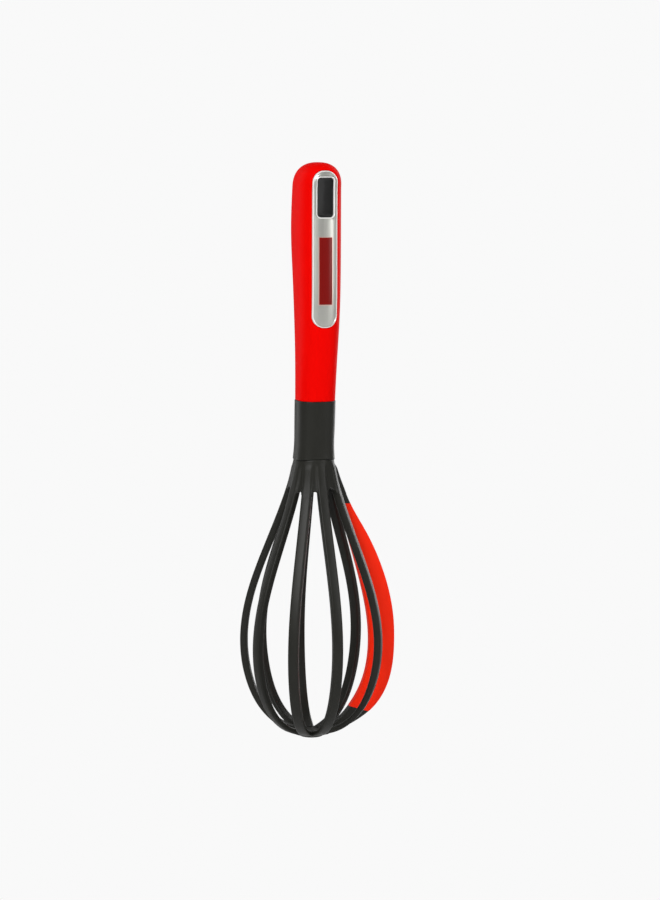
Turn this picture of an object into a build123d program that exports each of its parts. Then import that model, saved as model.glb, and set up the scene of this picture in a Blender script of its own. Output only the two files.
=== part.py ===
"""Balloon whisk with a silicone scraper blade: one STEP file for each sub-part.

Millimetres, +Z up along the whisk, the front plate faces -Y and the scraper blade points to +X.
The origin is the centre of the hanging hole.
"""
from build123d import *
from functools import lru_cache
import math
import os

# Overall heights along the whisk
CROWN_Z = 17.7            # top of the handle
GRIP_END_Z = -105.5       # where the red grip meets the black collar
SEAM_Z = -137.0           # where the collar meets the whisk head
RIB_ROOT_Z = -156.0       # where the free ribs leave the head's skirt
BALLOON_TIP_Z = -284.3    # middle of the rib thickness at the very bottom

# Handle: (half width, half depth, shift of the section towards the back), evenly spaced in height
DOME_START_Z = 5.0
GRIP_STATIONS = [
    (10.1, 10.3, -1.4),
    (10.35, 12.6, -2.5),
    (10.95, 14.9, -3.0),
    (11.5, 16.2, -1.7),
    (11.8, 17.3, 0.1),
    (11.6, 16.2, -0.5),
]
COLLAR_STATIONS = [
    (GRIP_END_Z, 10.35, 10.6, -1.4),
    (-121.0, 10.2, 10.6, -0.8),
    (-130.0, 10.2, 10.4, -0.3),
    (SEAM_Z, 10.7, 10.7, 0.0),
]
SECTION_SQUARENESS = 2.5  # exponent of the rounded section, 2 would be an ellipse
SECTION_POINTS = 16
DOME_SQUARENESS = 2.4
DOME_STEPS = 6
DOME_LEAN = -2.3          # the crown stands this far in front of the section below it
GRIP_WALL = 2.2           # soft grip moulded over the rigid core

# Hanging hole and its liner
HOLE_WIDTH = 8.9
HOLE_HEIGHT = 20.2
HOLE_CORNER = 1.8
LINER_WALL = 1.2

# Front plate and name badge
PLATE_WIDTH = 13.2
PLATE_TOP_Z = 13.6
PLATE_BOTTOM_Z = -66.5
PLATE_CORNER = 6.0
PLATE_PROUD = 0.6         # how far the plate stands out of the grip
PLATE_SUNK = 1.2          # how deep its pocket is
FIELD_MARGIN = 0.9        # width of the raised rim round the plate
FIELD_DEPTH = 0.35
BADGE_WIDTH = 7.8
BADGE_HEIGHT = 35.2
BADGE_CORNER = 0.4
BADGE_MID_Z = -37.4
BADGE_POCKET = 0.45
BADGE_PROUD = 0.15
PEG_RADIUS = 1.6
PEG_HEIGHTS = (-14.0, -37.4, -60.0)
PEG_TIP_Y = -9.0
PEG_LENGTH = 8.0          # long enough to reach into the back of the plate

# Tang that carries the whisk head inside the handle, and its cross pin
TANG_ROOT_RADIUS = 6.5
TANG_WIDTH = 11.0
TANG_DEPTH = 7.5
TANG_CORNER = 1.5
TANG_TOP_Z = -62.0
PIN_RADIUS = 1.5
PIN_Z = -86.0
PIN_LENGTH = 15.6

# Whisk head
RIB_WIDTH = 5.35
RIB_THICKNESS = 3.8
RIB_EDGE_RADIUS = 0.9
RIB_TIP_THICKNESS = 2.9   # the ribs get thinner from the belly to the bottom
RIB_THINNING_START = 0.68  # share of the rib's length at which they start to
RIB_THINNING_END = 0.86
BLADE_AZIMUTH = 90.0      # degrees from the plate's side, -Y, towards +X
RIB_AZIMUTHS = (122.2, 173.8, 212.0, 247.5, -67.5, -32.0, 4.5, 56.5)
RIB_CENTRE_LINE = [       # (radius, height) down the middle of a rib
    (9.4, -138.6),
    (12.0, -150.8),
    (14.4, -158.5),
    (24.3, -184.7),
    (34.4, -216.0),
    (36.4, -234.0),
    (33.3, -255.9),
    (26.1, -271.0),
    (14.3, -281.0),
    (0.0, BALLOON_TIP_Z),
]
OFFSET_SAMPLES = 24
SKIRT_PROFILE = [         # (radius, height) of the skirt's panels between the ribs
    (10.7, SEAM_Z),
    (11.9, -145.5),
    (14.3, -154.0),
]
SKIRT_WALL = 3.0
SKIRT_FLOOR = 7.0         # solid top of the skirt, under the seam
SLOT_SPRING_Z = -153.8    # where the round tops of the slots start
SKIRT_TOP_BORE = 4.5      # the hollow is this much narrower at its top than at the slots
SLOT_RADIUS = 12.9        # radius at which the slot widths are worked out
HUB_RADIUS = 10.6         # the free ribs end here, round the bottom junction
HUB_DISC_RADIUS = 6.5
HUB_DISC_THICKNESS = 3.2
HUB_CORE_RADIUS = 3.0     # the ribs stop short of the middle, inside the disc

# Scraper blade: a fin on its own rib, with a silicone sleeve
FIN_WIDTH = 4.2
FIN_EDGE_RADIUS = 0.6
FIN_OUTER = [
    (12.0, -139.5),
    (16.2, -151.5),
    (20.4, -161.5),
    (28.8, -176.1),
    (38.2, -196.0),
    (45.2, -224.0),
    (45.8, -238.0),
    (42.8, -259.0),
    (36.0, -271.0),
    (24.6, -279.6),
    (12.0, -284.5),
    (0.0, -285.8),
]
FIN_INNER = [
    (7.5, -139.5),
    (10.8, -151.0),
    (13.3, -159.5),
    (18.3, -176.0),
    (26.3, -203.0),
    (31.7, -236.0),
    (28.3, -258.0),
    (21.5, -270.5),
    (10.5, -280.4),
    (0.0, -283.0),
]
SLEEVE_TOP_Z = -161.0
SLEEVE_END_INNER_Z = -270.2   # height of the sleeve's lower cut at the inner reach
SLEEVE_END_OUTER_Z = -275.6   # and at the outer reach
SLEEVE_INNER_REACH = 18.0
SLEEVE_OUTER_REACH = 34.0
WEB_INSET = 1.4           # silicone cover over the web's edges
WEB_THICKNESS = 1.8

FAR = 60.0                # larger than any half size across the whisk


def squared_circle(turn, squareness):
    """Point of a unit circle that is drawn out towards its corners."""
    c, s = math.cos(turn), math.sin(turn)
    power = 2 / squareness
    return math.copysign(abs(c) ** power, c), math.copysign(abs(s) ** power, s)


def rounded_section(height, half_width, half_depth, shift):
    """Closed rounded section of the handle at one height."""
    points = []
    for k in range(SECTION_POINTS):
        x, y = squared_circle(2 * math.pi * k / SECTION_POINTS, SECTION_SQUARENESS)
        points.append((half_width * x, shift + half_depth * y, height))
    return Face(Wire(Spline(*points, periodic=True)))


@lru_cache(maxsize=None)
def handle_body(grow):
    """Handle outside, grown outwards by the given amount; negative shrinks it."""
    rise = (DOME_START_Z - GRIP_END_Z) / (len(GRIP_STATIONS) - 1)
    stations = [
        rounded_section(GRIP_END_Z + k * rise, width + grow, depth + grow, shift)
        for k, (width, depth, shift) in enumerate(GRIP_STATIONS)
    ]
    width, depth, shift = GRIP_STATIONS[-1]
    dome = []
    for k in range(DOME_STEPS):
        reach, step = squared_circle(math.pi / 2 * k / DOME_STEPS, DOME_SQUARENESS)
        height = DOME_START_Z + step * (CROWN_Z + grow - DOME_START_Z)
        lean = shift + DOME_LEAN * step
        dome.append(rounded_section(height, (width + grow) * reach, (depth + grow) * reach, lean))
    tip = Vertex(0, shift + DOME_LEAN, CROWN_Z + grow)
    return loft(stations) + loft(dome + [tip])


def upright_prism(width, height, corner, mid_z, y_from, y_to):
    """Rounded rectangle in the XZ plane, pushed along Y between two places."""
    outline = Plane.XZ * Pos(0, mid_z) * RectangleRounded(width, height, corner)
    return Pos(0, y_to, 0) * extrude(outline, y_to - y_from)


def hole_prism(wall=0.0):
    return upright_prism(HOLE_WIDTH + 2 * wall, HOLE_HEIGHT + 2 * wall, HOLE_CORNER + wall, 0, -FAR, FAR)


def plate_prism(margin=0.0):
    """Outline of the front plate, less a margin all round, from the middle of the handle forwards."""
    height = PLATE_TOP_Z - PLATE_BOTTOM_Z - 2 * margin
    middle = (PLATE_TOP_Z + PLATE_BOTTOM_Z) / 2
    return upright_prism(PLATE_WIDTH - 2 * margin, height, PLATE_CORNER - margin, middle, -FAR, 0)


def badge_prism():
    return upright_prism(BADGE_WIDTH, BADGE_HEIGHT, BADGE_CORNER, BADGE_MID_Z, -FAR, 0)


def plate_pegs():
    """Round pegs on the back of the plate, pressed into the core."""
    pegs = [Pos(0, PEG_TIP_Y, z) * Rot(90, 0, 0) * extrude(Circle(PEG_RADIUS), PEG_LENGTH) for z in PEG_HEIGHTS]
    return Part() + pegs


def make_grip_shell():
    shell = handle_body(0) - handle_body(-GRIP_WALL)
    shell -= plate_prism() - handle_body(-PLATE_SUNK)
    shell -= hole_prism(LINER_WALL)
    return shell - plate_pegs()


def make_handle_core():
    core = handle_body(-GRIP_WALL) - hole_prism(LINER_WALL)
    core -= make_head_tang()
    core -= make_lock_pin()
    return core - plate_pegs()


def make_hole_liner():
    liner = handle_body(0) & (hole_prism(LINER_WALL) - hole_prism())
    return liner - (plate_prism() - handle_body(-PLATE_SUNK))


def make_front_plate():
    plate = (handle_body(PLATE_PROUD) - handle_body(-PLATE_SUNK)) & plate_prism()
    plate -= (plate_prism(FIELD_MARGIN) - hole_prism(FIELD_MARGIN)) - handle_body(PLATE_PROUD - FIELD_DEPTH)
    plate -= hole_prism()
    plate -= badge_prism() - handle_body(PLATE_PROUD - FIELD_DEPTH - BADGE_POCKET)
    return plate + (plate_pegs() & handle_body(PLATE_PROUD - FIELD_DEPTH - BADGE_POCKET))


def make_name_badge():
    top = handle_body(PLATE_PROUD - FIELD_DEPTH + BADGE_PROUD)
    return (top - handle_body(PLATE_PROUD - FIELD_DEPTH - BADGE_POCKET)) & badge_prism()


def make_neck_collar():
    collar = loft([rounded_section(*station) for station in COLLAR_STATIONS])
    bore = Pos(0, 0, SEAM_Z) * extrude(Circle(TANG_ROOT_RADIUS), GRIP_END_Z - SEAM_Z)
    return collar - bore


def make_head_tang():
    root = Pos(0, 0, SEAM_Z) * extrude(Circle(TANG_ROOT_RADIUS), GRIP_END_Z - SEAM_Z)
    outline = RectangleRounded(TANG_WIDTH, TANG_DEPTH, TANG_CORNER)
    bar = Pos(0, 0, GRIP_END_Z) * extrude(outline, TANG_TOP_Z - GRIP_END_Z)
    return root + bar - make_lock_pin()


def make_lock_pin():
    return Pos(-PIN_LENGTH / 2, 0, PIN_Z) * Rot(0, 90, 0) * extrude(Circle(PIN_RADIUS), PIN_LENGTH)


def shifted_curve(points, distance, end_distance=None):
    """Curve through the points of a radial outline, moved outwards by a distance that may change at its end."""
    path = Spline(*points)
    end_distance = distance if end_distance is None else end_distance
    moved = []
    for k in range(OFFSET_SAMPLES + 1):
        share = k / OFFSET_SAMPLES
        change = (share - RIB_THINNING_START) / (RIB_THINNING_END - RIB_THINNING_START)
        shift = distance + (end_distance - distance) * min(max(change, 0), 1)
        place = path @ share
        along = path % share
        moved.append((place.X - along.Y * shift, place.Y + along.X * shift))
    return Spline(*moved)


def upright_face(edges):
    """Face in the XZ plane inside a closed outline drawn as (radius, height)."""
    return Plane.XZ * make_face(edges)


def radial_slab(outer, inner, width):
    """Solid between two curves in the radial plane, turned to stand along +X."""
    start = Line(outer @ 0, inner @ 0)
    end = Line(outer @ 1, inner @ 1)
    return extrude(upright_face([outer, end, inner, start]), width / 2, both=True)


def rounded_slab(outer, inner, width, radius):
    slab = radial_slab(outer, inner, width)
    long_edges = slab.edges().filter_by(lambda edge: edge.length > 8 * width)
    return fillet(long_edges, radius)


def at_azimuth(shape, azimuth):
    """Turn something that stands along +X to an azimuth counted from -Y towards +X."""
    return Rot(0, 0, azimuth - 90) * shape


def make_rib_bar():
    """One whole rib from the seam to the tip, standing along +X."""
    outer = shifted_curve(RIB_CENTRE_LINE, RIB_THICKNESS / 2, RIB_TIP_THICKNESS / 2)
    inner = shifted_curve(RIB_CENTRE_LINE, -RIB_THICKNESS / 2, -RIB_TIP_THICKNESS / 2)
    return rounded_slab(outer, inner, RIB_WIDTH, RIB_EDGE_RADIUS)


def make_fin():
    """The whole blade fin from the seam to the tip, standing along +X."""
    return rounded_slab(Spline(*FIN_OUTER), Spline(*FIN_INNER), FIN_WIDTH, FIN_EDGE_RADIUS)


def above(height):
    return Pos(0, 0, height) * extrude(Rectangle(2 * FAR, 2 * FAR), FAR)


def below(height):
    return Pos(0, 0, height) * extrude(Rectangle(2 * FAR, 2 * FAR), -3 * FAR)


def hub_zone(radius):
    """Upright cylinder round the bottom junction, where all ribs run together."""
    return Pos(0, 0, BALLOON_TIP_Z - HUB_RADIUS) * extrude(Circle(radius), 3 * HUB_RADIUS)


def skirt_web():
    """Round shell between the ribs, solid under the seam and hollow below."""
    outer = Spline(*SKIRT_PROFILE)
    inside_top = SEAM_Z - SKIRT_FLOOR
    end_radius = SKIRT_PROFILE[-1][0] - SKIRT_WALL
    inner = Line((end_radius, SLOT_SPRING_Z), (end_radius - SKIRT_TOP_BORE, inside_top))
    outline = [
        Line((0, SEAM_Z), outer @ 0),
        outer,
        Line(outer @ 1, inner @ 0),
        inner,
        Line(inner @ 1, (0, inside_top)),
        Line((0, inside_top), (0, SEAM_Z)),
    ]
    return revolve(upright_face(outline), Axis.Z, 360)


def slot_cutters():
    """Round tops of the slots, one between each two neighbouring ribs."""
    azimuths = sorted([BLADE_AZIMUTH] + [azimuth % 360 for azimuth in RIB_AZIMUTHS])
    cutters = []
    for this, following in zip(azimuths, azimuths[1:] + [azimuths[0] + 360]):
        half_gap = math.radians(following - this) / 2
        radius = SLOT_RADIUS * math.sin(half_gap) - RIB_WIDTH / 2
        bar = Pos(0, 0, SLOT_SPRING_Z) * Rot(0, 90, 0) * extrude(Circle(radius), FAR / 2)
        cutters.append(at_azimuth(bar, (this + following) / 2))
    return cutters


def make_head_skirt(rib_bar, fin):
    skirt = skirt_web()
    for cutter in slot_cutters():
        skirt -= cutter
    root = above(RIB_ROOT_Z) - above(SEAM_Z)
    skirt += [at_azimuth(rib_bar & root, azimuth) for azimuth in RIB_AZIMUTHS]
    return skirt + at_azimuth(fin & root, BLADE_AZIMUTH)


def make_tip_hub(rib_bar, fin):
    """Round junction at the bottom, with the inner ends of all the ribs."""
    zone = hub_zone(HUB_RADIUS) - hub_zone(HUB_CORE_RADIUS)
    rib_end = rib_bar & zone
    disc = extrude(Circle(HUB_DISC_RADIUS), HUB_DISC_THICKNESS)
    hub = Pos(0, 0, BALLOON_TIP_Z - HUB_DISC_THICKNESS / 2) * disc
    for azimuth in RIB_AZIMUTHS:
        hub += at_azimuth(rib_end, azimuth)
    return hub + at_azimuth(fin & zone, BLADE_AZIMUTH)


def free_span(bar):
    """The part of a rib that stands free, from the skirt to the bottom junction."""
    return (bar & below(RIB_ROOT_Z)) - hub_zone(HUB_RADIUS)


def sleeve_zone():
    """Everything between the sleeve's straight top cut and its sloping bottom cut."""
    slope = (SLEEVE_END_OUTER_Z - SLEEVE_END_INNER_Z) / (SLEEVE_OUTER_REACH - SLEEVE_INNER_REACH)
    corners = [
        (0, SLEEVE_TOP_Z),
        (FAR, SLEEVE_TOP_Z),
        (FAR, SLEEVE_END_INNER_Z + slope * (FAR - SLEEVE_INNER_REACH)),
        (0, SLEEVE_END_INNER_Z - slope * SLEEVE_INNER_REACH),
    ]
    return extrude(upright_face(Polyline(*corners, close=True).edges()), FIN_WIDTH, both=True)


def blade_web():
    """Thin nylon web that the silicone is moulded round."""
    return radial_slab(
        shifted_curve(FIN_OUTER, -WEB_INSET),
        shifted_curve(FIN_INNER, WEB_INSET),
        WEB_THICKNESS,
    )


def make_blade_rib(fin):
    spine = free_span(fin) - sleeve_zone()
    web = free_span(blade_web()) & sleeve_zone()
    return at_azimuth(spine + web, BLADE_AZIMUTH)


def make_scraper_blade(fin):
    sleeve = (free_span(fin) & sleeve_zone()) - blade_web()
    return at_azimuth(sleeve, BLADE_AZIMUTH)


def main():
    os.makedirs("parts", exist_ok=True)
    rib_bar = make_rib_bar()
    fin = make_fin()
    parts = {
        "grip_shell": make_grip_shell(),
        "handle_core": make_handle_core(),
        "hang_hole_liner": make_hole_liner(),
        "front_plate": make_front_plate(),
        "name_badge": make_name_badge(),
        "neck_collar": make_neck_collar(),
        "head_tang": make_head_tang(),
        "tang_lock_pin": make_lock_pin(),
        "head_skirt": make_head_skirt(rib_bar, fin),
        "tip_hub": make_tip_hub(rib_bar, fin),
        "blade_rib": make_blade_rib(fin),
        "scraper_blade": make_scraper_blade(fin),
    }
    free_rib = free_span(rib_bar)
    for number, azimuth in enumerate(RIB_AZIMUTHS, start=1):
        parts[f"rib_{number}"] = at_azimuth(free_rib, azimuth)
    for name, shape in parts.items():
        export_step(shape, f"parts/{name}.step")


main()
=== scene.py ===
import math

import bmesh
import bpy
import numpy as np
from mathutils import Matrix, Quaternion, Vector
from mathutils.geometry import delaunay_2d_cdt


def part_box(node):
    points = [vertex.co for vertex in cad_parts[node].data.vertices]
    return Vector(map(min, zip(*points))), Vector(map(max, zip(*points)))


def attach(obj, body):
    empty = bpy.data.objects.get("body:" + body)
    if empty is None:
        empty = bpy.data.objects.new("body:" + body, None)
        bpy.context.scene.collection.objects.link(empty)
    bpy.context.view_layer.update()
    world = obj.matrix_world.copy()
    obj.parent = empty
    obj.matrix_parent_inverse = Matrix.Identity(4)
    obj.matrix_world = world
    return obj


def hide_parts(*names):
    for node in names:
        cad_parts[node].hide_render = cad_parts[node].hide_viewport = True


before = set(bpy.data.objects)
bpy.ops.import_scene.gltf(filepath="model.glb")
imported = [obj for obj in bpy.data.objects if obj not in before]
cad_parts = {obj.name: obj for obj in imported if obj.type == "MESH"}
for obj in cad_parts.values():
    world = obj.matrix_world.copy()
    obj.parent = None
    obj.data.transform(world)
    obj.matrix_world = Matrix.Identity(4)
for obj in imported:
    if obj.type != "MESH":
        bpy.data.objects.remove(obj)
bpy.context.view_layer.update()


# ---------------------------------------------------------------- soft red grip
# The grip is a thermoplastic rubber skin moulded over the rigid core, slim at the neck and swelling into
# the palm at the back. Its crown is a squared dome, and the plate and the hanging hole are let into it.

grip_low, grip_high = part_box("grip_shell")
GRIP_END = grip_low[2]                  # lower end, at the collar
CROWN = grip_high[2]                    # top of the dome
DOME_HEIGHT = 0.0127
DOME_START = CROWN - DOME_HEIGHT
SECTION_SQUARENESS = 2.5
DOME_SQUARENESS = 2.4
DOME_LEAN = -0.0023
GRIP_SECTIONS = [                       # half width, half depth, shift to the back, evenly up the grip
    (0.0101, 0.0103, -0.0014),
    (0.01035, 0.0126, -0.0025),
    (0.01095, 0.0149, -0.0030),
    (0.0115, 0.0162, -0.0017),
    (0.0118, 0.0173, 0.0001),
    (0.0116, 0.0162, -0.0005),
]
GRIP_LIP = 0.0004                       # rounding of the grip's lower lip
GRIP_RINGS = 150
DOME_RINGS = 44
ROUND_STEPS = 128
LIP_STEPS = 5                           # rings of a rounded end
LEAST_WIDTH = 1e-6                      # keeps the front surface's rule in range at the crown
SIDE_LIMIT = 0.999                      # and at the very side of the grip
ROUND_SHARP = 40                        # degrees, past which an edge of a round piece stays crisp
ROUGHNESS_SPREAD = 0.04                 # a finish varies by this much both ways
GRIP_RED = (0.83, 0.0015, 0.0003, 1)


def curve_through(places, values):
    """Smooth curve through values at given places, as a function that takes one place or many."""
    t, v = np.array(places, float), np.array(values, float)
    step = np.diff(t)
    slope = np.diff(v, axis=0) / (step if v.ndim == 1 else step[:, None])
    matrix, right = np.eye(len(t)), np.zeros_like(v)
    for k in range(1, len(t) - 1):
        matrix[k, k - 1:k + 2] = step[k - 1], 2 * (step[k - 1] + step[k]), step[k]
        right[k] = 6 * (slope[k] - slope[k - 1])
    bend = np.linalg.solve(matrix, right)

    def at(place):
        k = np.clip(np.searchsorted(t, place) - 1, 0, len(step) - 1)
        h = step[k]
        before, after = (t[k + 1] - place) / h, (place - t[k]) / h
        if v.ndim > 1:
            h, before, after = (np.asarray(part)[..., None] for part in (h, before, after))
        return (before * v[k] + after * v[k + 1]
                + ((before ** 3 - before) * bend[k] + (after ** 3 - after) * bend[k + 1]) * h * h / 6)

    return at


grip_curve = curve_through(np.linspace(GRIP_END, DOME_START, len(GRIP_SECTIONS)), GRIP_SECTIONS)


def grip_section(height):
    """Half width, half depth and shift of the grip's section at one height."""
    if height <= DOME_START:
        return tuple(grip_curve(np.float64(height)))
    width, depth, shift = GRIP_SECTIONS[-1]
    step = min((height - DOME_START) / (CROWN - DOME_START), 1)
    reach = (1 - step ** DOME_SQUARENESS) ** (1 / DOME_SQUARENESS)
    return width * reach, depth * reach, shift + DOME_LEAN * step


def squared_ring(height, half_width, half_depth, shift):
    """Points of one rounded section, anticlockwise seen from above."""
    turn = np.linspace(0, 2 * math.pi, ROUND_STEPS, endpoint=False)
    power = 2 / SECTION_SQUARENESS
    x = np.sign(np.cos(turn)) * np.abs(np.cos(turn)) ** power * half_width
    y = np.sign(np.sin(turn)) * np.abs(np.sin(turn)) ** power * half_depth + shift
    return [(px, py, height) for px, py in zip(x, y)]


def lip_rings(end, inwards, width, depth, shift, lip):
    """Rings of a rounded end, from its flat face to the start of the wall."""
    rings = []
    for turn in np.linspace(0, math.pi / 2, LIP_STEPS):
        draw_in = lip * (1 - math.sin(turn))
        height = end + inwards * lip * (1 - math.cos(turn))
        rings.append(squared_ring(height, width - draw_in, depth - draw_in, shift))
    return rings


def linked(name, data):
    """New object in the scene, at the origin."""
    holder = bpy.data.objects.new(name, data)
    bpy.context.collection.objects.link(holder)
    return holder


def closed_by_rings(name, rings):
    """Closed mesh skinned over a stack of rings that all have the same number of points."""
    steps = len(rings[0])
    vertices = [point for ring in rings for point in ring]
    faces = []
    for r in range(len(rings) - 1):
        low, high = r * steps, (r + 1) * steps
        for k in range(steps):
            j = (k + 1) % steps
            faces.append((low + k, low + j, high + j, high + k))
    vertices += [tuple(np.mean(ring, axis=0)) for ring in (rings[0], rings[-1])]
    low_centre, high_centre = len(vertices) - 2, len(vertices) - 1
    top = (len(rings) - 1) * steps
    faces += [((k + 1) % steps, k, low_centre) for k in range(steps)]
    faces += [(top + k, top + (k + 1) % steps, high_centre) for k in range(steps)]
    mesh = bpy.data.meshes.new(name)
    mesh.from_pydata(vertices, [], faces)
    return linked(name, mesh)


def smooth_shaded(piece, sharp_from):
    """Smooth shading that keeps the edges sharper than an angle in degrees."""
    piece.data.shade_smooth()
    piece.data.set_sharp_from_angle(angle=math.radians(sharp_from))


def baked(piece):
    """Applies the piece's modifiers and leaves a plain mesh."""
    bpy.context.view_layer.update()
    shown = piece.evaluated_get(bpy.context.evaluated_depsgraph_get())
    mesh = bpy.data.meshes.new_from_object(shown)
    piece.modifiers.clear()
    piece.data = mesh
    return piece


def rounded_outline(width, height, corner, middle, corner_steps=10):
    """Corner points of a rounded rectangle in the XZ plane, anticlockwise seen from the front."""
    points = []
    for side_x, side_z, start in ((1, 1, 0), (-1, 1, 90), (-1, -1, 180), (1, -1, 270)):
        for k in range(corner_steps + 1):
            turn = math.radians(start + 90 * k / corner_steps)
            points.append((side_x * (width / 2 - corner) + corner * math.cos(turn),
                           middle + side_z * (height / 2 - corner) + corner * math.sin(turn)))
    return points


def cut_away(piece, cutter, operation="DIFFERENCE"):
    """Takes a closed cutter out of a closed piece, or keeps only what they share."""
    cut = piece.modifiers.new("cut", "BOOLEAN")
    cut.operation = operation
    cut.solver = "EXACT"
    cut.object = cutter
    baked(piece)
    bpy.data.objects.remove(cutter)


def front_face_y(x, z):
    """Depth of the grip's front surface above a point of its face."""
    half_width, half_depth, shift = grip_section(z)
    side = min(abs(x) / max(half_width, LEAST_WIDTH), SIDE_LIMIT)
    return shift - half_depth * (1 - side ** SECTION_SQUARENESS) ** (1 / SECTION_SQUARENESS)


grip_rings = lip_rings(GRIP_END, 1, *GRIP_SECTIONS[0], GRIP_LIP)[:-1]
for k in range(GRIP_RINGS + 1):
    height = GRIP_END + GRIP_LIP + (DOME_START - GRIP_END - GRIP_LIP) * k / GRIP_RINGS
    grip_rings.append(squared_ring(height, *grip_section(height)))
for k in range(1, DOME_RINGS):
    climb = math.sin(math.pi / 2 * k / DOME_RINGS) ** (2 / DOME_SQUARENESS)
    height = DOME_START + (CROWN - DOME_START) * climb
    grip_rings.append(squared_ring(height, *grip_section(height)))
grip = closed_by_rings("soft_grip", grip_rings)
grip_blank = grip.data.copy()           # the whole outside, which the lining of the hole follows


def rubber_grain(name, scale, depth):
    """Node group: fine moulded grain of a soft surface, as a normal and a slight colour change."""
    group = bpy.data.node_groups.new(name, "ShaderNodeTree")
    group.interface.new_socket("Scale", in_out="INPUT", socket_type="NodeSocketFloat").default_value = scale
    group.interface.new_socket("Depth", in_out="INPUT", socket_type="NodeSocketFloat").default_value = depth
    group.interface.new_socket("Mottle", in_out="OUTPUT", socket_type="NodeSocketFloat")
    group.interface.new_socket("Normal", in_out="OUTPUT", socket_type="NodeSocketVector")
    node, link = group.nodes.new, group.links.new
    inputs, outputs = node("NodeGroupInput"), node("NodeGroupOutput")
    place = node("ShaderNodeTexCoord")
    grain, cloud = node("ShaderNodeTexNoise"), node("ShaderNodeTexNoise")
    grain.inputs["Detail"].default_value = 3
    cloud.inputs["Scale"].default_value = 60
    cloud.inputs["Detail"].default_value = 2
    bump = node("ShaderNodeBump")
    bump.inputs["Distance"].default_value = 0.0004
    link(place.outputs["Object"], grain.inputs["Vector"])
    link(place.outputs["Object"], cloud.inputs["Vector"])
    link(inputs.outputs["Scale"], grain.inputs["Scale"])
    link(inputs.outputs["Depth"], bump.inputs["Strength"])
    link(grain.outputs["Fac"], bump.inputs["Height"])
    link(cloud.outputs["Fac"], outputs.inputs["Mottle"])
    link(bump.outputs["Normal"], outputs.inputs["Normal"])
    return group


moulded_grain = rubber_grain("moulded_grain", 2500, 0.1)


def patterned_finish(name, group, mask, colour, second_colour, roughness, scale, depth):
    """Material with two close colours and two close roughnesses, mixed by a node group's mask."""
    material = bpy.data.materials.new(name)
    material.use_nodes = True
    tree = material.node_tree
    shader = tree.nodes["Principled BSDF"]
    pattern = tree.nodes.new("ShaderNodeGroup")
    pattern.node_tree = group
    pattern.inputs["Scale"].default_value = scale
    pattern.inputs["Depth"].default_value = depth
    tint = tree.nodes.new("ShaderNodeMix")
    tint.data_type = "RGBA"
    tint.inputs["A"].default_value = colour
    tint.inputs["B"].default_value = second_colour
    rough = tree.nodes.new("ShaderNodeMapRange")
    rough.inputs["To Min"].default_value = roughness - ROUGHNESS_SPREAD
    rough.inputs["To Max"].default_value = roughness + ROUGHNESS_SPREAD
    tree.links.new(pattern.outputs[mask], tint.inputs["Factor"])
    tree.links.new(pattern.outputs[mask], rough.inputs["Value"])
    tree.links.new(tint.outputs["Result"], shader.inputs["Base Color"])
    tree.links.new(rough.outputs["Result"], shader.inputs["Roughness"])
    tree.links.new(pattern.outputs["Normal"], shader.inputs["Normal"])
    return material, shader


def moulded_finish(name, gloss, **look):
    """Moulded plastic or rubber: soft clouds of two colours and a fine grain."""
    material, shader = patterned_finish(name, moulded_grain, "Mottle", **look)
    shader.inputs["Specular IOR Level"].default_value = gloss
    return material


soft_red = moulded_finish("soft_red_rubber", gloss=0.02, colour=GRIP_RED,
                          second_colour=(0.77, 0.001, 0.0003, 1), roughness=0.52, scale=2600, depth=0.12)


# ---------------------------------------------------------------- front plate
# A satin metallised plastic plate, pegged into the core. Its rim and the edge of the hanging hole are
# raised bevels, coloured near white as a painted highlight, and its flat field is brushed along the handle.

PLATE_WIDTH = 0.0132
PLATE_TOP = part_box("front_plate")[1][2]
PLATE_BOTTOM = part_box("front_plate")[0][2]
PLATE_CORNER = 0.0060
PLATE_PROUD = 0.0006
PLATE_SUNK = 0.0012
PLATE_FIELD = 0.00022                   # height of the field above the grip
RIM_BEVEL = 0.00040
RIM_DROP = 0.0004                       # the bevel's outer edge lies this much lower
RIM_FLAT = 0.00012
RIM_INNER = 0.00030                     # width of the slope from the rim down to the field
HOLE_WIDTH = 0.0089
HOLE_HEIGHT = 0.0202
HOLE_CORNER = 0.0018
LINER_WALL = 0.0012
PLATE_GRID = 0.0009
POCKET_GAP = 0.00022                    # shadow gap between the plate and the grip
POCKET_FLOOR_GAP = 0.0003               # and under the plate
POCKET_CLEAR = 0.004                    # the pocket's cutter stands this far in front of the grip
POCKET_GRID = 0.002
CUTTER_REACH = 0.03                     # the hole's cutter runs this far to the front and the back
MERGE_DISTANCE = 1e-7
BEVEL_SHARP = 50                        # degrees, past which an edge of a bevelled piece stays crisp
plate_height = PLATE_TOP - PLATE_BOTTOM
plate_middle = (PLATE_TOP + PLATE_BOTTOM) / 2


def evenly_walked(outline, spacing):
    """The outline with more points on its long straight sides."""
    walked = []
    for (x1, z1), (x2, z2) in zip(outline, outline[1:] + outline[:1]):
        steps = max(1, round(math.hypot(x2 - x1, z2 - z1) / spacing))
        walked += [(x1 + (x2 - x1) * k / steps, z1 + (z2 - z1) * k / steps) for k in range(steps)]
    return walked


def plate_outline(inset):
    """The plate's edge, drawn in by an inset."""
    width, height = PLATE_WIDTH - 2 * inset, plate_height - 2 * inset
    return evenly_walked(rounded_outline(width, height, PLATE_CORNER - inset, plate_middle), PLATE_GRID)


def hole_outline(outset):
    """The hole's edge, widened by an outset."""
    width, height = HOLE_WIDTH + 2 * outset, HOLE_HEIGHT + 2 * outset
    return evenly_walked(rounded_outline(width, height, HOLE_CORNER + outset, 0, 6), PLATE_GRID)


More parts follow.
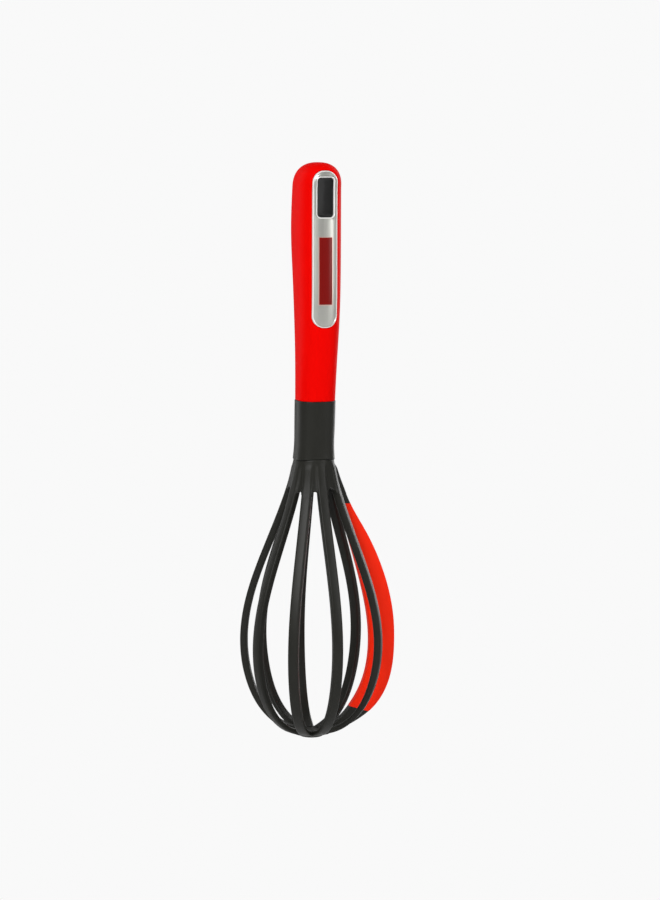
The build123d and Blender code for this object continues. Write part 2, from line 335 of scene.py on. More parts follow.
def depth_inside(x, z, width, height, corner, middle):
    """Distance from a point inwards to the edge of a rounded rectangle, negative outside it."""
    qx = abs(x) - (width / 2 - corner)
    qz = abs(z - middle) - (height / 2 - corner)
    outside = math.hypot(max(qx, 0), max(qz, 0)) + min(max(qx, qz), 0)
    return corner - outside


def rim_height(distance):
    """Height over the grip at a distance in from a rim's edge."""
    if distance < RIM_BEVEL:
        return PLATE_PROUD - RIM_DROP * (1 - distance / RIM_BEVEL) ** 2
    if distance < RIM_BEVEL + RIM_FLAT:
        return PLATE_PROUD
    slope = min((distance - RIM_BEVEL - RIM_FLAT) / RIM_INNER, 1)
    ease = slope * slope * (3 - 2 * slope)
    return PLATE_PROUD + (PLATE_FIELD - PLATE_PROUD) * ease


def relief_piece(name, loops, inside, top_height, bottom_height, grid):
    """Closed piece over part of the grip's front, whose two faces follow it at heights given by rules."""
    points, edges = [], []
    for loop in loops:
        start = len(points)
        points += [Vector(p) for p in loop]
        edges += [(start + k, start + (k + 1) % len(loop)) for k in range(len(loop))]
    xs = [p[0] for p in loops[0]]
    zs = [p[1] for p in loops[0]]
    for x in np.arange(min(xs) + grid / 2, max(xs), grid):
        for z in np.arange(min(zs) + grid / 2, max(zs), grid):
            points.append(Vector((x, z)))
    flat, _, triangles, _, _, _ = delaunay_2d_cdt(points, edges, [], 0, MERGE_DISTANCE)
    triangles = [t for t in triangles if inside(sum(flat[i].x for i in t) / 3, sum(flat[i].y for i in t) / 3)]
    used = sorted({i for t in triangles for i in t})
    order = {old: new for new, old in enumerate(used)}
    vertices = []
    for height_rule in (top_height, bottom_height):
        for i in used:
            x, z = flat[i].x, flat[i].y
            vertices.append((x, front_face_y(x, z) - height_rule(x, z), z))
    count = len(used)
    faces, open_edges = [], set()
    for t in triangles:
        a, b, c = (order[i] for i in t)
        if (flat[t[1]] - flat[t[0]]).cross(flat[t[2]] - flat[t[0]]) < 0:
            b, c = c, b
        faces.append((a, b, c))
        faces.append((count + c, count + b, count + a))
        for i, j in ((a, b), (b, c), (c, a)):
            if (j, i) in open_edges:
                open_edges.remove((j, i))
            else:
                open_edges.add((i, j))
    faces += [(j, i, count + i, count + j) for i, j in sorted(open_edges)]
    mesh = bpy.data.meshes.new(name)
    mesh.from_pydata(vertices, [], faces)
    return linked(name, mesh)


def from_plate_rim(x, z, margin=0.0):
    """Distance in from the plate's edge, itself drawn in by a margin."""
    size = PLATE_WIDTH - 2 * margin, plate_height - 2 * margin
    return depth_inside(x, z, *size, PLATE_CORNER - margin, plate_middle)


def from_hole_rim(x, z):
    """Distance out from the edge of the hanging hole."""
    return -depth_inside(x, z, HOLE_WIDTH, HOLE_HEIGHT, HOLE_CORNER, 0)


def plate_top(x, z):
    """Height of the plate's face over the grip."""
    return max(rim_height(max(from_plate_rim(x, z), 0)), rim_height(max(from_hole_rim(x, z), 0)))


# width in from each rim's edge of the bevel and its flat top, which are coloured near white as a painted
# highlight
RIM_HIGHLIGHT_WIDTH = RIM_BEVEL + RIM_FLAT
rim_steps = (0, RIM_BEVEL / 3, RIM_BEVEL * 2 / 3, RIM_BEVEL, RIM_HIGHLIGHT_WIDTH, RIM_HIGHLIGHT_WIDTH + RIM_INNER / 2,
             RIM_HIGHLIGHT_WIDTH + RIM_INNER)
plate = relief_piece(
    "satin_front_plate",
    [plate_outline(step) for step in rim_steps] + [hole_outline(step) for step in rim_steps],
    lambda x, z: from_plate_rim(x, z) > 0 and from_hole_rim(x, z) > 0,
    plate_top,
    lambda x, z: -PLATE_SUNK,
    PLATE_GRID,
)
smooth_shaded(plate, BEVEL_SHARP)


def pocket_cutter():
    """Everything in front of the floor of the plate's pocket."""
    return relief_piece(
        "plate_pocket",
        [plate_outline(-POCKET_GAP)],
        lambda x, z: from_plate_rim(x, z, -POCKET_GAP) > 0,
        lambda x, z: POCKET_CLEAR,
        lambda x, z: -PLATE_SUNK - POCKET_FLOOR_GAP,
        POCKET_GRID,
    )


def hole_cutter(wall):
    """Prism of the hanging hole, widened by a wall, right through the handle."""
    outline = rounded_outline(HOLE_WIDTH + 2 * wall, HOLE_HEIGHT + 2 * wall, HOLE_CORNER + wall, 0)
    rings = [[(x, y, z) for x, z in outline] for y in (CUTTER_REACH, -CUTTER_REACH)]
    return closed_by_rings("hole_cutter", rings)


cut_away(grip, pocket_cutter())
cut_away(grip, hole_cutter(LINER_WALL))
smooth_shaded(grip, ROUND_SHARP)
grip.data.materials.append(soft_red)
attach(grip, "root")
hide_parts("grip_shell")


def brushed_lines(name, scale, depth):
    """Node group: fine lines along the handle, as a mask and a normal."""
    group = bpy.data.node_groups.new(name, "ShaderNodeTree")
    group.interface.new_socket("Scale", in_out="INPUT", socket_type="NodeSocketFloat").default_value = scale
    group.interface.new_socket("Depth", in_out="INPUT", socket_type="NodeSocketFloat").default_value = depth
    group.interface.new_socket("Lines", in_out="OUTPUT", socket_type="NodeSocketFloat")
    group.interface.new_socket("Normal", in_out="OUTPUT", socket_type="NodeSocketVector")
    node, link = group.nodes.new, group.links.new
    inputs, outputs = node("NodeGroupInput"), node("NodeGroupOutput")
    place, stretch = node("ShaderNodeTexCoord"), node("ShaderNodeMapping")
    stretch.inputs["Scale"].default_value = (1, 1, 0.02)
    lines = node("ShaderNodeTexNoise")
    lines.inputs["Detail"].default_value = 2
    bump = node("ShaderNodeBump")
    bump.inputs["Distance"].default_value = 0.0002
    link(place.outputs["Object"], stretch.inputs["Vector"])
    link(stretch.outputs["Vector"], lines.inputs["Vector"])
    link(inputs.outputs["Scale"], lines.inputs["Scale"])
    link(inputs.outputs["Depth"], bump.inputs["Strength"])
    link(lines.outputs["Fac"], bump.inputs["Height"])
    link(lines.outputs["Fac"], outputs.inputs["Lines"])
    link(bump.outputs["Normal"], outputs.inputs["Normal"])
    return group


fine_brushing = brushed_lines("fine_brushing", 1800, 0.08)


def metal_finish(name, metallic, **look):
    """Brushed metal or metallised plastic: two close greys in fine lines."""
    material, shader = patterned_finish(name, fine_brushing, "Lines", **look)
    shader.inputs["Metallic"].default_value = metallic
    return material


satin_metal = metal_finish("satin_metal", metallic=0.85, colour=(0.50, 0.50, 0.46, 1),
                           second_colour=(0.56, 0.56, 0.52, 1), roughness=0.38, scale=1800, depth=0.06)
# near-white, barely metallic colour for the bevels: a painted highlight for the light the chamfers catch
painted_highlight_rim = metal_finish("painted_highlight_rim", metallic=0.25, colour=(0.93, 0.93, 0.90, 1),
                          second_colour=(0.96, 0.96, 0.94, 1), roughness=0.30, scale=1200, depth=0.02)
plate.data.materials.append(satin_metal)
plate.data.materials.append(painted_highlight_rim)
# the bevels and flat tops of both rims take the painted highlight
for face in plate.data.polygons:
    x, _, z = face.center
    if min(from_plate_rim(x, z), from_hole_rim(x, z)) < RIM_HIGHLIGHT_WIDTH:
        face.material_index = 1
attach(plate, "root")
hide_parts("front_plate")


# ---------------------------------------------------------------- name badge
# A glossy dark red plastic badge, glued into a shallow pocket of the plate. A thin bright line of metal
# shows round it, and its face is left blank.

BADGE_WIDTH = 0.0078
badge_low, badge_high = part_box("name_badge")
BADGE_HEIGHT = badge_high[2] - badge_low[2]
BADGE_MIDDLE = (badge_low[2] + badge_high[2]) / 2
BADGE_CORNER = 0.0005
BADGE_LEAST_CORNER = 0.0001
BADGE_BORDER = 0.00045                  # width of the metal line round the badge
BADGE_FACE = 0.00042                    # height of its face over the grip
BADGE_EDGE = 0.00015
BADGE_ROOT = -0.0001                    # height of its underside
BADGE_LINE_PROUD = 0.0001               # the metal line stands this much over the plate's field
BADGE_SPACING = 0.0008
BADGE_GRID = 0.0012
BADGE_LINE_GRID = 0.0008
BADGE_RED = (0.20, 0.003, 0.002, 1)


def badge_size(inset):
    """Width, height and corner radius of the badge, drawn in by an inset."""
    return BADGE_WIDTH - 2 * inset, BADGE_HEIGHT - 2 * inset, max(BADGE_CORNER - inset, BADGE_LEAST_CORNER)


def badge_outline(inset):
    """The badge's edge, drawn in by an inset."""
    return evenly_walked(rounded_outline(*badge_size(inset), BADGE_MIDDLE, 5), BADGE_SPACING)


def from_badge_edge(x, z, inset=0.0):
    """Distance in from the badge's edge, itself drawn in by an inset."""
    return depth_inside(x, z, *badge_size(inset), BADGE_MIDDLE)


def badge_top(x, z):
    """Height of the badge's face over the grip, lower along its edge."""
    rise = min(max(from_badge_edge(x, z, BADGE_BORDER), 0) / BADGE_EDGE, 1)
    return BADGE_FACE - BADGE_EDGE * (1 - rise) ** 2


badge = relief_piece(
    "blank_red_badge",
    [badge_outline(BADGE_BORDER + step) for step in (0, BADGE_EDGE / 2, BADGE_EDGE)],
    lambda x, z: from_badge_edge(x, z, BADGE_BORDER) > 0,
    badge_top,
    lambda x, z: BADGE_ROOT,
    BADGE_GRID,
)
smooth_shaded(badge, BEVEL_SHARP)
badge_frame = relief_piece(
    "badge_edge_line",
    [badge_outline(step) for step in (0, BADGE_BORDER / 2, BADGE_BORDER)],
    lambda x, z: from_badge_edge(x, z) > 0 and from_badge_edge(x, z, BADGE_BORDER) < 0,
    lambda x, z: PLATE_FIELD + BADGE_LINE_PROUD,
    lambda x, z: BADGE_ROOT,
    BADGE_LINE_GRID,
)
smooth_shaded(badge_frame, BEVEL_SHARP)
badge_red = moulded_finish("badge_red", gloss=0.25, colour=BADGE_RED, second_colour=(0.17, 0.003, 0.002, 1),
                           roughness=0.25, scale=900, depth=0.02)
badge_line = metal_finish("badge_line", metallic=0.4, colour=(0.62, 0.42, 0.37, 1),
                          second_colour=(0.68, 0.48, 0.43, 1), roughness=0.3, scale=1200, depth=0.02)
badge.data.materials.append(badge_red)
badge_frame.data.materials.append(badge_line)
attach(badge, "root")
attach(badge_frame, "root")
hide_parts("name_badge")


# ---------------------------------------------------------------- core, liner, tang and pin
# The rigid black core with the lining of the hanging hole, the nylon tang that reaches up into it, and
# the ground steel pin through both. Only the lining can be seen on a finished whisk.

LINER_GAP = 0.00005                     # keeps the lining just clear of the grip
core_black = moulded_finish("core_black", gloss=0.08, colour=(0.002, 0.002, 0.0017, 1),
                            second_colour=(0.003, 0.003, 0.0026, 1), roughness=0.34, scale=1600, depth=0.1)
steel_pin = metal_finish("ground_steel", metallic=0.85, colour=(0.55, 0.55, 0.55, 1),
                         second_colour=(0.62, 0.62, 0.62, 1), roughness=0.28, scale=1500, depth=0.05)


def finish_node(node, material):
    """Puts one material on a node that keeps its own shape."""
    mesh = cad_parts[node].data
    mesh.materials.clear()
    mesh.materials.append(material)


finish_node("handle_core", core_black)
finish_node("tang_lock_pin", steel_pin)

lining = linked("black_hole_lining", grip_blank)
cut_away(lining, pocket_cutter())
cut_away(lining, hole_cutter(LINER_WALL - LINER_GAP), "INTERSECT")
cut_away(lining, hole_cutter(0))
smooth_shaded(lining, ROUND_SHARP)
lining.data.materials.append(core_black)
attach(lining, "root")
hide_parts("hang_hole_liner")


# ---------------------------------------------------------------- neck collar
# A plain dark nylon sleeve between the grip and the whisk head, slipped over the root of the tang. Both
# ends are slightly rounded, so a fine line shows at each joint.

COLLAR_SECTIONS = [                     # half width, half depth, shift to the back
    (0.01035, 0.0106, -0.0014),
    (0.0102, 0.0106, -0.0008),
    (0.0102, 0.0104, -0.0003),
    (0.0107, 0.0107, 0.0),
]
collar_low, collar_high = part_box("neck_collar")
SEAM = collar_low[2]
COLLAR_HEIGHTS = (collar_high[2], -0.121, -0.130, SEAM)
COLLAR_LIP = 0.00035
COLLAR_RINGS = 50
NYLON_GREY = (0.011, 0.011, 0.0088, 1)

collar_curve = curve_through(COLLAR_HEIGHTS[::-1], COLLAR_SECTIONS[::-1])
collar_rings = []
for height in np.linspace(SEAM, collar_high[2], COLLAR_RINGS + 1):
    from_end = min(height - SEAM, collar_high[2] - height)
    if from_end >= COLLAR_LIP:
        collar_rings.append(squared_ring(height, *collar_curve(height)))
low_lip = lip_rings(SEAM, 1, *collar_curve(np.float64(SEAM)), COLLAR_LIP)
high_lip = lip_rings(collar_high[2], -1, *collar_curve(np.float64(collar_high[2])), COLLAR_LIP)
collar_rings = low_lip + collar_rings + high_lip[::-1]
collar = closed_by_rings("neck_collar_sleeve", collar_rings)
smooth_shaded(collar, BEVEL_SHARP)
nylon = moulded_finish("dark_nylon", gloss=0.2, colour=NYLON_GREY, second_colour=(0.018, 0.018, 0.0145, 1),
                       roughness=0.42, scale=1500, depth=0.14)
collar.data.materials.append(nylon)
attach(collar, "root")
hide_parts("neck_collar")
finish_node("head_tang", nylon)


# ---------------------------------------------------------------- skirt of the whisk head
# The top of the one-piece nylon head: a short bell with round arches between the ribs. Each rib starts
# as a soft ridge under the seam, and every edge is rounded by the mould.

MOULD_VOXEL = 0.0003
CAD_MERGE_DISTANCE = 1e-6
SKIRT_SMOOTHING = 10                    # rounds of smoothing for every edge
RIDGE_SMOOTHING = 70                    # and more of them for the ridges
# Each of these is a table of heights: with a share of the extra smoothing, with a share of the ridge's
# own height, and with the radius of the bell between the ribs.
RIDGE_SOFT = ((-0.1382, 0), (-0.1396, 1), (-0.1475, 1), (-0.1525, 0))
RIDGE_START = ((-0.1412, 1), (-0.1388, 0))
PANEL = ((-0.1540, 0.0143), (-0.1455, 0.0119), (SEAM, 0.0107))
SEAM_ARCH = 0.0012                      # the seam stands this much higher at the front and the back
SEAM_ARCH_REACH = 0.014


def moulded_copy(node, name, smoothing):
    """Closed, evenly meshed copy of a node with its edges and inner corners softened."""
    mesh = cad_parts[node].data.copy()
    mesh.name = name
    build = bmesh.new()
    build.from_mesh(mesh)
    bmesh.ops.remove_doubles(build, verts=build.verts, dist=CAD_MERGE_DISTANCE)
    build.to_mesh(mesh)
    build.free()
    mesh.materials.clear()
    piece = linked(name, mesh)
    even = piece.modifiers.new("even", "REMESH")
    even.mode = "VOXEL"
    even.voxel_size = MOULD_VOXEL
    even.use_smooth_shade = True
    soften = piece.modifiers.new("soften", "SMOOTH")
    soften.factor = 0.5
    soften.iterations = smoothing
    baked(piece)
    piece.data.shade_smooth()
    return piece


def share_at(table, place):
    """Value at a place, read from a short table of places and values."""
    places, values = zip(*sorted(table))
    return float(np.interp(place, places, values))


def arched_seam(piece):
    """Bows the mesh near the seam upwards at the front and the back."""
    for vertex in piece.data.vertices:
        x, y, z = vertex.co
        near = max(0, 1 - abs(z - SEAM) / SEAM_ARCH_REACH) ** 2
        vertex.co.z = z + SEAM_ARCH * near * y * y / max(x * x + y * y, 1e-9)


skirt = moulded_copy("head_skirt", "nylon_skirt", SKIRT_SMOOTHING)
for vertex in skirt.data.vertices:
    x, y, z = vertex.co
    radius, panel = math.hypot(x, y), share_at(PANEL, z)
    if radius > panel and z > RIDGE_START[0][0]:
        scale = (panel + (radius - panel) * share_at(RIDGE_START, z)) / radius
        vertex.co.x, vertex.co.y = x * scale, y * scale
ridges = skirt.vertex_groups.new(name="ridges")
for vertex in skirt.data.vertices:
    ridges.add([vertex.index], share_at(RIDGE_SOFT, vertex.co.z), "REPLACE")
melt = skirt.modifiers.new("melt", "SMOOTH")
melt.factor = 0.5
melt.iterations = RIDGE_SMOOTHING
melt.vertex_group = "ridges"
baked(skirt)
skirt.vertex_groups.clear()
arched_seam(skirt)
arched_seam(collar)
skirt.data.shade_smooth()
skirt.data.materials.append(nylon)
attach(skirt, "root")
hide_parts("head_skirt")


# ---------------------------------------------------------------- plain ribs
# Eight stiff bars of the same nylon moulding, flat outside with rounded edges. Each grows out of the
# skirt, bows out to the belly of the balloon and runs into the junction at the bottom.

RIB_WIDTH = 0.00535
RIB_THICKNESS = 0.0038
RIB_EDGE = 0.0010
RIB_PATH = [                            # radius and height of the middle of a rib
    (0.0094, -0.1386),
    (0.0120, -0.1508),
    (0.0144, -0.1585),
    (0.0243, -0.1847),
    (0.0344, -0.2160),
    (0.0364, -0.2340),
    (0.0333, -0.2559),
    (0.0261, -0.2710),
    (0.0143, -0.2810),
    (0.0, -0.2843),
]
RIB_THINNING = ((0, 1), (0.68, 1), (0.86, 0.763), (1, 0.763))     # share of the path and of the thickness
# Degrees round the axis, from the plate's side towards the blade, which stands at 90.
RIB_AZIMUTHS = (122.2, 173.8, 212.0, 247.5, -67.5, -32.0, 4.5, 56.5)
RIB_SAMPLES = 140
RIB_HEAD_START = 0.055                  # the drawn bar starts inside the skirt, as a share of the path
RIB_TAIL_END = 0.975                    # and ends inside the junction
RIB_TAPER = 0.04                        # share of the path over which a hidden end draws in
RIB_END_SIZE = 0.86
RIB_TAPER_POWER = 0.6                   # below 1, so the end rounds off quickly


def path_points(points, shares):
    """Points of a smooth curve through the given points, at shares of its chord length."""
    points = np.array(points)
    walked = np.concatenate([[0], np.cumsum(np.hypot(*np.diff(points, axis=0).T))])
    return curve_through(walked, points)(np.array(shares) * walked[-1])


def rib_tree():
    """Geometry Nodes tree: sweeps a rounded bar along the path and sets one at each azimuth."""
    tree = bpy.data.node_groups.new("ribs_round_the_balloon", "GeometryNodeTree")
    tree.is_modifier = True
    new = tree.interface.new_socket
    new("Geometry", in_out="INPUT", socket_type="NodeSocketGeometry")
    new("Width", in_out="INPUT", socket_type="NodeSocketFloat").default_value = RIB_WIDTH
    new("Thickness", in_out="INPUT", socket_type="NodeSocketFloat").default_value = RIB_THICKNESS
    new("Edge Radius", in_out="INPUT", socket_type="NodeSocketFloat").default_value = RIB_EDGE
    new("Material", in_out="INPUT", socket_type="NodeSocketMaterial")
    new("Geometry", in_out="OUTPUT", socket_type="NodeSocketGeometry")
    node, link = tree.nodes.new, tree.links.new
    inputs, outputs = node("NodeGroupInput"), node("NodeGroupOutput")
    path, shape, rounding, sweep = (node(f"GeometryNode{kind}") for kind in (
        "MeshToCurve", "CurvePrimitiveQuadrilateral", "FilletCurve", "CurveToMesh"))
    rounding.mode = "POLY"
    rounding.inputs["Count"].default_value = 4
    sweep.inputs["Fill Caps"].default_value = True

    def attribute(name, kind="FLOAT"):
        read = node("GeometryNodeInputNamedAttribute")
        read.data_type = kind
        read.inputs["Name"].default_value = name
        return read

    size, turn, thinning = (attribute(name) for name in ("bar_size", "azimuth", "bar_thinning"))
    middle, is_place = attribute("bar_middle", "FLOAT_VECTOR"), attribute("is_place", "BOOLEAN")
    places, rotation = node("GeometryNodeMeshToPoints"), node("ShaderNodeCombineXYZ")
    here, factors, thinned = (node(kind) for kind in (
        "GeometryNodeInputPosition", "ShaderNodeCombineXYZ", "GeometryNodeSetPosition"))
    factors.inputs["Y"].default_value = 1
    from_middle, scaled, placed = (node("ShaderNodeVectorMath") for _ in range(3))
    from_middle.operation, scaled.operation, placed.operation = "SUBTRACT", "MULTIPLY", "ADD"
    link(thinning.outputs["Attribute"], factors.inputs["X"])
    link(thinning.outputs["Attribute"], factors.inputs["Z"])
    link(here.outputs["Position"], from_middle.inputs[0])
    link(middle.outputs["Attribute"], from_middle.inputs[1])
    link(from_middle.outputs["Vector"], scaled.inputs[0])
    link(factors.outputs["Vector"], scaled.inputs[1])
    link(scaled.outputs["Vector"], placed.inputs[0])
    link(middle.outputs["Attribute"], placed.inputs[1])
    link(sweep.outputs["Mesh"], thinned.inputs["Geometry"])
    link(placed.outputs["Vector"], thinned.inputs["Position"])
    copies, real, coat = (node(f"GeometryNode{kind}") for kind in (
        "InstanceOnPoints", "RealizeInstances", "SetMaterial"))
    link(inputs.outputs["Geometry"], path.inputs["Mesh"])
    link(inputs.outputs["Width"], shape.inputs["Width"])
    link(inputs.outputs["Thickness"], shape.inputs["Height"])
    link(shape.outputs["Curve"], rounding.inputs["Curve"])
    link(inputs.outputs["Edge Radius"], rounding.inputs["Radius"])
    link(path.outputs["Curve"], sweep.inputs["Curve"])
    link(rounding.outputs["Curve"], sweep.inputs["Profile Curve"])
    link(size.outputs["Attribute"], sweep.inputs["Scale"])
    link(inputs.outputs["Geometry"], places.inputs["Mesh"])
    link(is_place.outputs["Attribute"], places.inputs["Selection"])
    link(turn.outputs["Attribute"], rotation.inputs["Z"])
    link(places.outputs["Points"], copies.inputs["Points"])
    link(thinned.outputs["Geometry"], copies.inputs["Instance"])
    link(rotation.outputs["Vector"], copies.inputs["Rotation"])
    link(copies.outputs["Instances"], real.inputs["Geometry"])
    link(real.outputs["Geometry"], coat.inputs["Geometry"])
    link(inputs.outputs["Material"], coat.inputs["Material"])
    link(coat.outputs["Geometry"], outputs.inputs["Geometry"])
    return tree


shares = np.linspace(RIB_HEAD_START, RIB_TAIL_END, RIB_SAMPLES)
from_end = np.minimum(shares - RIB_HEAD_START, RIB_TAIL_END - shares)
bar_size = RIB_END_SIZE + (1 - RIB_END_SIZE) * np.clip(from_end / RIB_TAPER, 0, 1) ** RIB_TAPER_POWER
bar_path = path_points(RIB_PATH, shares)
ribs_mesh = bpy.data.meshes.new("plain_ribs")
ribs_mesh.from_pydata(
    [(r, 0, z) for r, z in bar_path] + [(0, 0, 0)] * len(RIB_AZIMUTHS),
    [(k, k + 1) for k in range(RIB_SAMPLES - 1)], [])
for layer, kind in (("bar_size", "FLOAT"), ("bar_thinning", "FLOAT"), ("bar_middle", "FLOAT_VECTOR"),
                    ("azimuth", "FLOAT"), ("is_place", "BOOLEAN")):
    ribs_mesh.attributes.new(layer, kind, "POINT")
for k, (share, size, (r, z)) in enumerate(zip(shares, bar_size, bar_path)):
    ribs_mesh.attributes["bar_size"].data[k].value = size
    ribs_mesh.attributes["bar_thinning"].data[k].value = share_at(RIB_THINNING, share)
    ribs_mesh.attributes["bar_middle"].data[k].vector = (r, 0, z)
for k, azimuth in enumerate(RIB_AZIMUTHS, start=RIB_SAMPLES):
    ribs_mesh.attributes["azimuth"].data[k].value = math.radians(azimuth - 90)
    ribs_mesh.attributes["is_place"].data[k].value = True
ribs = linked("plain_ribs", ribs_mesh)
build_ribs = ribs.modifiers.new("ribs", "NODES")
build_ribs.node_group = rib_tree()
sockets = {item.name: item.identifier
           for item in build_ribs.node_group.interface.items_tree if item.in_out == "INPUT"}
build_ribs[sockets["Width"]] = RIB_WIDTH
build_ribs[sockets["Thickness"]] = RIB_THICKNESS
build_ribs[sockets["Edge Radius"]] = RIB_EDGE
build_ribs[sockets["Material"]] = nylon
baked(ribs)


def pointing_outwards(piece):
    """Turns every face of a closed mesh outwards."""
    build = bmesh.new()
    build.from_mesh(piece.data)
    bmesh.ops.remove_doubles(build, verts=build.verts, dist=MERGE_DISTANCE)
    bmesh.ops.recalc_face_normals(build, faces=build.faces)
    build.to_mesh(piece.data)
    build.free()


pointing_outwards(ribs)
smooth_shaded(ribs, ROUND_SHARP)
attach(ribs, "root")
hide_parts(*(f"rib_{k}" for k in range(1, 9)))


# ---------------------------------------------------------------- bottom junction
# All nine ribs run together at the bottom of the balloon in a small round boss of the same moulding,
# with soft inner corners where two ribs meet.

JUNCTION_SMOOTHING = 8

junction = moulded_copy("tip_hub", "bottom_junction", JUNCTION_SMOOTHING)
junction.data.materials.append(nylon)
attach(junction, "root")
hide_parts("tip_hub")


# ---------------------------------------------------------------- blade fin and silicone sleeve
# The ninth rib is a deep flat fin of the same nylon. A red silicone sleeve is moulded over it, from just
# under the skirt to the curve of the bottom, and is the edge that scrapes the bowl.

FIN_WIDTH = 0.0042
FIN_EDGE = 0.0007
SLEEVE_EDGE = 0.0009
FIN_UNDER = 0.00012                     # the nylon lies this far under the sleeve's surface
FIN_OUTER = [                           # radius and height of the fin's outer edge
    (0.0120, -0.1395),
    (0.0162, -0.1515),
    (0.0204, -0.1615),
    (0.0288, -0.1761),
    (0.0382, -0.1960),
    (0.0452, -0.2240),
    (0.0458, -0.2380),
    (0.0428, -0.2590),
    (0.0360, -0.2710),
    (0.0246, -0.2796),
    (0.0120, -0.2845),
    (0.0, -0.2858),
]
FIN_INNER = [
    (0.0075, -0.1395),
    (0.0108, -0.1510),
    (0.0133, -0.1595),
    (0.0183, -0.1760),
    (0.0263, -0.2030),
    (0.0317, -0.2360),
    (0.0283, -0.2580),
    (0.0215, -0.2705),
    (0.0105, -0.2804),
    (0.0, -0.2830),
]
FIN_SAMPLES = 240
FIN_START = 0.06                        # the drawn bar runs between these shares of the edges
FIN_END = 0.97
SLEEVE_TOP = -0.161
SLEEVE_END_INNER = (0.018, -0.2702)
SLEEVE_END_OUTER = (0.034, -0.2756)
SLEEVE_END_BEVEL = 0.00025
SILICONE_RED = (0.95, 0.022, 0.002, 1)


def rounded_bar_ring(outer, inner, half_width, radius):
    """Rounded rectangle between an outer and an inner point of the radial plane."""
    middle = (outer + inner) / 2
    along = (outer - inner) / 2
    half_depth = math.hypot(*along)
    along = along / half_depth
    return [(middle[0] + u * along[0], v, middle[1] + u * along[1])
            for u, v in rounded_outline(2 * half_depth, 2 * half_width, radius, 0, 5)]


def fin_bar(name, draw_in, edge):
    """Closed slab between the fin's two edges."""
    shares = np.linspace(FIN_START, FIN_END, FIN_SAMPLES)
    half_width = FIN_WIDTH / 2 - draw_in
    rings = []
    for outer, inner in zip(path_points(FIN_OUTER, shares), path_points(FIN_INNER, shares)):
        across = (outer - inner) / math.hypot(*(outer - inner))
        rings.append(rounded_bar_ring(outer - across * draw_in, inner + across * draw_in, half_width, edge))
    piece = closed_by_rings(name, rings)
    pointing_outwards(piece)
    return piece


def sliced(piece, point, normal):
    """Cuts a closed piece with a plane, drops the side the normal points to and closes the cut."""
    build = bmesh.new()
    build.from_mesh(piece.data)
    everything = list(build.verts) + list(build.edges) + list(build.faces)
    bmesh.ops.bisect_plane(build, geom=everything, plane_co=point, plane_no=normal, clear_outer=True)
    bmesh.ops.holes_fill(build, edges=[edge for edge in build.edges if edge.is_boundary])
    bmesh.ops.recalc_face_normals(build, faces=build.faces)
    build.to_mesh(piece.data)
    build.free()


fin = fin_bar("blade_fin", FIN_UNDER, FIN_EDGE)
smooth_shaded(fin, BEVEL_SHARP)
fin.data.materials.append(nylon)
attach(fin, "root")
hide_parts("blade_rib")

sleeve = fin_bar("silicone_sleeve", 0, SLEEVE_EDGE)
sliced(sleeve, (0, 0, SLEEVE_TOP), (0, 0, 1))
end_run = SLEEVE_END_OUTER[0] - SLEEVE_END_INNER[0]
end_fall = SLEEVE_END_OUTER[1] - SLEEVE_END_INNER[1]
sliced(sleeve, (SLEEVE_END_INNER[0], 0, SLEEVE_END_INNER[1]), (end_fall, 0, -end_run))
rounded_ends = sleeve.modifiers.new("rounded_ends", "BEVEL")
rounded_ends.width = SLEEVE_END_BEVEL
rounded_ends.segments = 3
rounded_ends.limit_method = "ANGLE"
rounded_ends.angle_limit = math.radians(BEVEL_SHARP)
baked(sleeve)
smooth_shaded(sleeve, BEVEL_SHARP)
silicone = moulded_finish("red_silicone", gloss=0.10, colour=SILICONE_RED,
                          second_colour=(0.90, 0.018, 0.002, 1), roughness=0.44, scale=1800, depth=0.08)
sleeve.data.materials.append(silicone)
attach(sleeve, "root")
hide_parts("scraper_blade")


# ---------------------------------------------------------------- floor, light and camera
# A plain pale floor and backdrop in one sweep, well behind and below the whisk, and large soft lights.

PAPER_WHITE = (0.80, 0.80, 0.80, 1)
SEEN_WHITE = (0.947, 0.947, 0.947, 1)  # evenly lit paper and room, as seen
ROOM_LIGHT = 0.22                       # and as they light the whisk
FLOOR_HEIGHT = -0.42
BACKDROP_BACK = 2.6
BACKDROP_HALF_WIDTH = 6.0
BACKDROP_HEIGHT = 5.0
FLOOR_FRONT = -3.0
SWEEP_RADIUS = 1.2
SWEEP_STEPS = 16
CAMERA_DISTANCE = 1.155
CAMERA_AZIMUTH = math.radians(-17)
CAMERA_ELEVATION = math.radians(8.08)
CAMERA_ROLL = math.radians(0.56)
CAMERA_AIM = (0, 0, -0.1322)
FOCAL_SHARE = 2200 / 900                # focal length as a share of the frame's height
SENSOR = 36.0
AXIS_SHIFT = 0.018

profile = [(FLOOR_FRONT, FLOOR_HEIGHT)]
for k in range(SWEEP_STEPS + 1):
    turn = math.pi / 2 * k / SWEEP_STEPS
    profile.append((BACKDROP_BACK - SWEEP_RADIUS + SWEEP_RADIUS * math.sin(turn),
                    FLOOR_HEIGHT + SWEEP_RADIUS * (1 - math.cos(turn))))
profile.append((BACKDROP_BACK, BACKDROP_HEIGHT))
floor_mesh = bpy.data.meshes.new("studio_sweep")
floor_mesh.from_pydata(
    [(side * BACKDROP_HALF_WIDTH, y, z) for side in (-1, 1) for y, z in profile],
    [],
    [(k, k + 1, len(profile) + k + 1, len(profile) + k) for k in range(len(profile) - 1)])
floor = linked("studio_sweep", floor_mesh)
floor_mesh.shade_smooth()


def seen_as(tree, lit, seen, output):
    """Lets the camera see one shader, while every other ray meets the other one."""
    by_ray, ray = tree.nodes.new("ShaderNodeMixShader"), tree.nodes.new("ShaderNodeLightPath")
    tree.links.new(ray.outputs["Is Camera Ray"], by_ray.inputs["Fac"])
    tree.links.new(lit, by_ray.inputs[1])
    tree.links.new(seen, by_ray.inputs[2])
    tree.links.new(by_ray.outputs["Shader"], tree.nodes[output].inputs["Surface"])


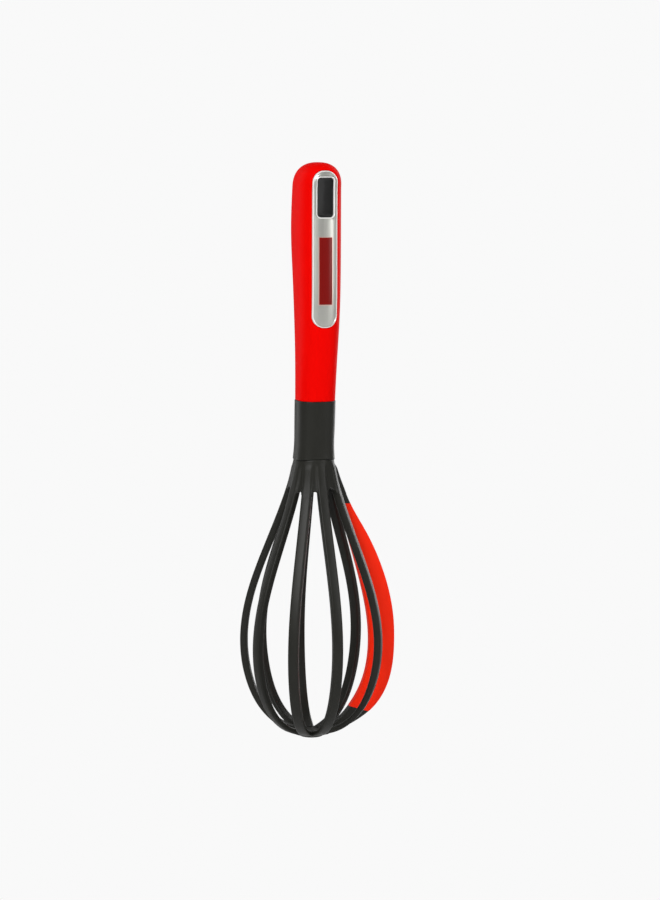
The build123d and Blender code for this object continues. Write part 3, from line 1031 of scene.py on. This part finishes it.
paper = bpy.data.materials.new("studio_paper")
paper.use_nodes = True
tree = paper.node_tree
shader = tree.nodes["Principled BSDF"]
shader.inputs["Base Color"].default_value = PAPER_WHITE
shader.inputs["Roughness"].default_value = 0.9
even_white = tree.nodes.new("ShaderNodeEmission")
even_white.inputs["Color"].default_value = SEEN_WHITE
seen_as(tree, shader.outputs["BSDF"], even_white.outputs["Emission"], "Material Output")
floor_mesh.materials.append(paper)

world = bpy.data.worlds.new("studio")
bpy.context.scene.world = world
world.use_nodes = True
tree = world.node_tree
room = tree.nodes["Background"]
room.inputs["Color"].default_value = (1, 1, 1, 1)
room.inputs["Strength"].default_value = ROOM_LIGHT
seen_room = tree.nodes.new("ShaderNodeBackground")
seen_room.inputs["Color"].default_value = SEEN_WHITE
seen_as(tree, room.outputs["Background"], seen_room.outputs["Background"], "World Output")


def soft_box(name, place, size, power):
    """Large soft lamp at a place, turned to the whisk."""
    lamp = bpy.data.lights.new(name, "AREA")
    lamp.shape = "RECTANGLE"
    lamp.size, lamp.size_y = size
    lamp.energy = power
    holder = linked(name, lamp)
    holder.location = place
    holder.rotation_euler = (Vector(CAMERA_AIM) - Vector(place)).to_track_quat("-Z", "Y").to_euler()


soft_box("key", place=(-1.0, -1.2, 0.9), size=(0.8, 0.9), power=26)
soft_box("fill", place=(1.1, -1.2, 0.4), size=(0.6, 1.0), power=9)
soft_box("rim", place=(-0.9, 1.1, 0.2), size=(0.5, 1.4), power=5)
soft_box("back_rim", place=(1.1, 0.9, 0.2), size=(0.5, 1.4), power=8)

camera_data = bpy.data.cameras.new("studio_camera")
camera_data.sensor_fit = "VERTICAL"
camera_data.sensor_height = SENSOR
camera_data.lens = FOCAL_SHARE * SENSOR
camera_data.shift_x = AXIS_SHIFT
camera = linked("studio_camera", camera_data)
away = Vector((math.sin(CAMERA_AZIMUTH) * math.cos(CAMERA_ELEVATION),
               -math.cos(CAMERA_AZIMUTH) * math.cos(CAMERA_ELEVATION), math.sin(CAMERA_ELEVATION)))
camera.location = Vector(CAMERA_AIM) + away * CAMERA_DISTANCE
look = (-away).to_track_quat("-Z", "Y")
camera.rotation_mode = "QUATERNION"
camera.rotation_quaternion = look @ Quaternion((0, 0, 1), CAMERA_ROLL)
bpy.context.scene.camera = camera
bpy.context.scene.view_settings.view_transform = "Standard"
